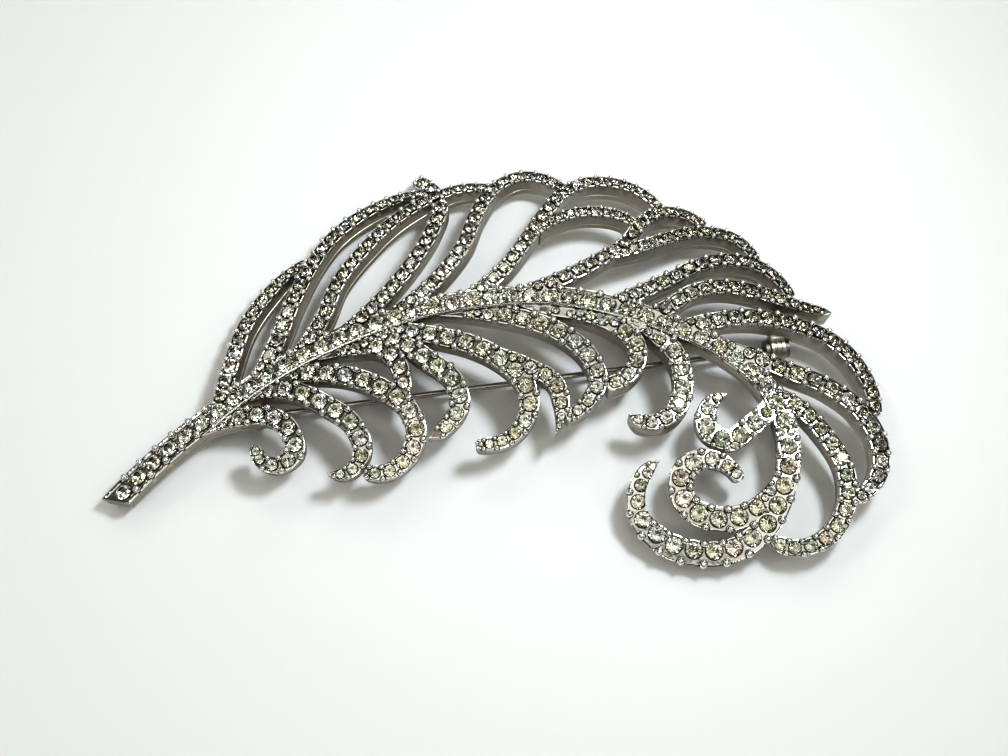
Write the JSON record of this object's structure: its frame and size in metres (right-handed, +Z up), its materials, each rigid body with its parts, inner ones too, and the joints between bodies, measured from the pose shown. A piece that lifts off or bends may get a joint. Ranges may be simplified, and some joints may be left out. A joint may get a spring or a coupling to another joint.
{
  "type": "feather brooch",
  "caption": "Domed, pierced feather brooch of cast white metal set with rows of pale cut stones, with a hinged pin and a turning safety catch on its back.",
  "frame": {"origin": "middle of the brooch's outline, on the surface that it lies on", "axes": "+X runs from the quill to the curls, +Y to the upper barbs, +Z up out of the front"},
  "size_m": [0.1009, 0.0577, 0.0087],
  "materials": {
    "plated_metal": "polished white metal plate over a cast alloy",
    "pin_steel": "smooth wire",
    "pale_stone": "faceted, foiled back"
  },
  "bodies": {
    "brooch": {"feather_frame": "plated_metal", "stem_stones": "pale_stone", "curl_stones": "pale_stone", "lower_barb_stones": "pale_stone", "upper_barb_stones": "pale_stone", "hinge_rivet": "plated_metal"},
    "pin": {"pin_stem": "pin_steel"},
    "rotor": {"catch_rotor": "pin_steel"}
  },
  "joints": [
    {"name": "pin_hinge", "type": "hinge", "parent": "brooch", "child": "pin", "pos_m": [-0.0313, -0.0084, 0.00207], "axis": [-0.1414, 0.9899, 0], "range_deg": [0, 70]},
    {"name": "catch_lock", "type": "hinge", "parent": "brooch", "child": "rotor", "pos_m": [0.038, 0.0015, 0.00207], "axis": [0.9899, 0.1414, 0], "range_deg": [-90, 0]}
  ]
}
